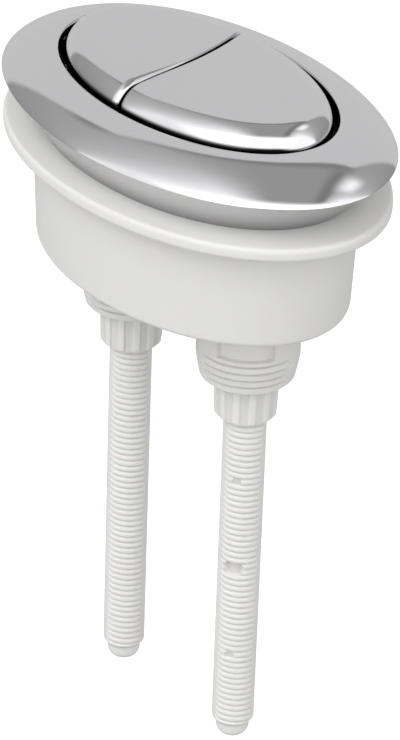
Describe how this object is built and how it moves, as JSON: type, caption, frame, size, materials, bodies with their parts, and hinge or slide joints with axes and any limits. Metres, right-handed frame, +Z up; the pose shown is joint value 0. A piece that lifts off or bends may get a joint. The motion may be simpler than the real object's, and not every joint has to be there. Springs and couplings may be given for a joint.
{
  "type": "push button cistern actuator",
  "caption": "Oval dual flush push button for a cistern lid: chrome-plated ring and split sprung button on a white housing, with threaded rods that press the flush valve.",
  "frame": {"origin": "centre of the oval, on the underside of the housing's flange, which seats on the cistern lid", "axes": "+Z up out of the lid, +X along the oval towards the full flush button, so the half flush button is at -X"},
  "size_m": [0.104, 0.067, 0.1646],
  "materials": {
    "chrome_plate": "bright chrome plating on moulded plastic",
    "housing_plastic": "white moulded plastic, satin",
    "rod_plastic": "white moulded plastic, satin",
    "spring_steel": "drawn stainless wire",
    "screw_steel": "zinc-plated steel"
  },
  "bodies": {
    "housing": {"housing": "housing_plastic", "bezel_ring": "chrome_plate", "full_spring": "spring_steel", "half_spring": "spring_steel"},
    "full_plunger": {"full_button": "chrome_plate", "full_carrier": "rod_plastic", "full_cap_screws": "screw_steel"},
    "full_collar": {"full_collar": "rod_plastic"},
    "full_rod": {"full_rod": "rod_plastic"},
    "half_plunger": {"half_button": "chrome_plate", "half_carrier": "rod_plastic", "half_cap_screws": "screw_steel"},
    "half_collar": {"half_collar": "rod_plastic"},
    "half_rod": {"half_rod": "rod_plastic"}
  },
  "joints": [
    {"name": "full_press", "type": "slide", "parent": "housing", "child": "full_plunger", "axis": [0, 0, -1], "range_m": [0, 0.008], "stiffness_N_per_m": 140, "springref_m": -0.014, "deforming": ["full_spring"]},
    {"name": "half_press", "type": "slide", "parent": "housing", "child": "half_plunger", "axis": [0, 0, -1], "range_m": [0, 0.008], "stiffness_N_per_m": 140, "springref_m": -0.014, "deforming": ["half_spring"]},
    {"name": "full_adjust", "type": "hinge", "parent": "full_plunger", "child": "full_collar", "pos_m": [0.0195, 0, -0.0472], "axis": [0, 0, 1], "range_deg": [-3601, 5761]},
    {"name": "half_adjust", "type": "hinge", "parent": "half_plunger", "child": "half_collar", "pos_m": [-0.0195, 0, -0.0472], "axis": [0, 0, 1], "range_deg": [-3601, 5761]},
    {"name": "full_rod_lift", "type": "slide", "parent": "full_plunger", "child": "full_rod", "axis": [0, 0, 1], "range_m": [-0.015, 0.024]},
    {"name": "half_rod_lift", "type": "slide", "parent": "half_plunger", "child": "half_rod", "axis": [0, 0, 1], "range_m": [-0.015, 0.024]}
  ],
  "couplings": [
    {"joint": "full_adjust", "follows": "full_rod_lift", "rad_per_m": 4188.8},
    {"joint": "half_adjust", "follows": "half_rod_lift", "rad_per_m": 4188.8}
  ]
}
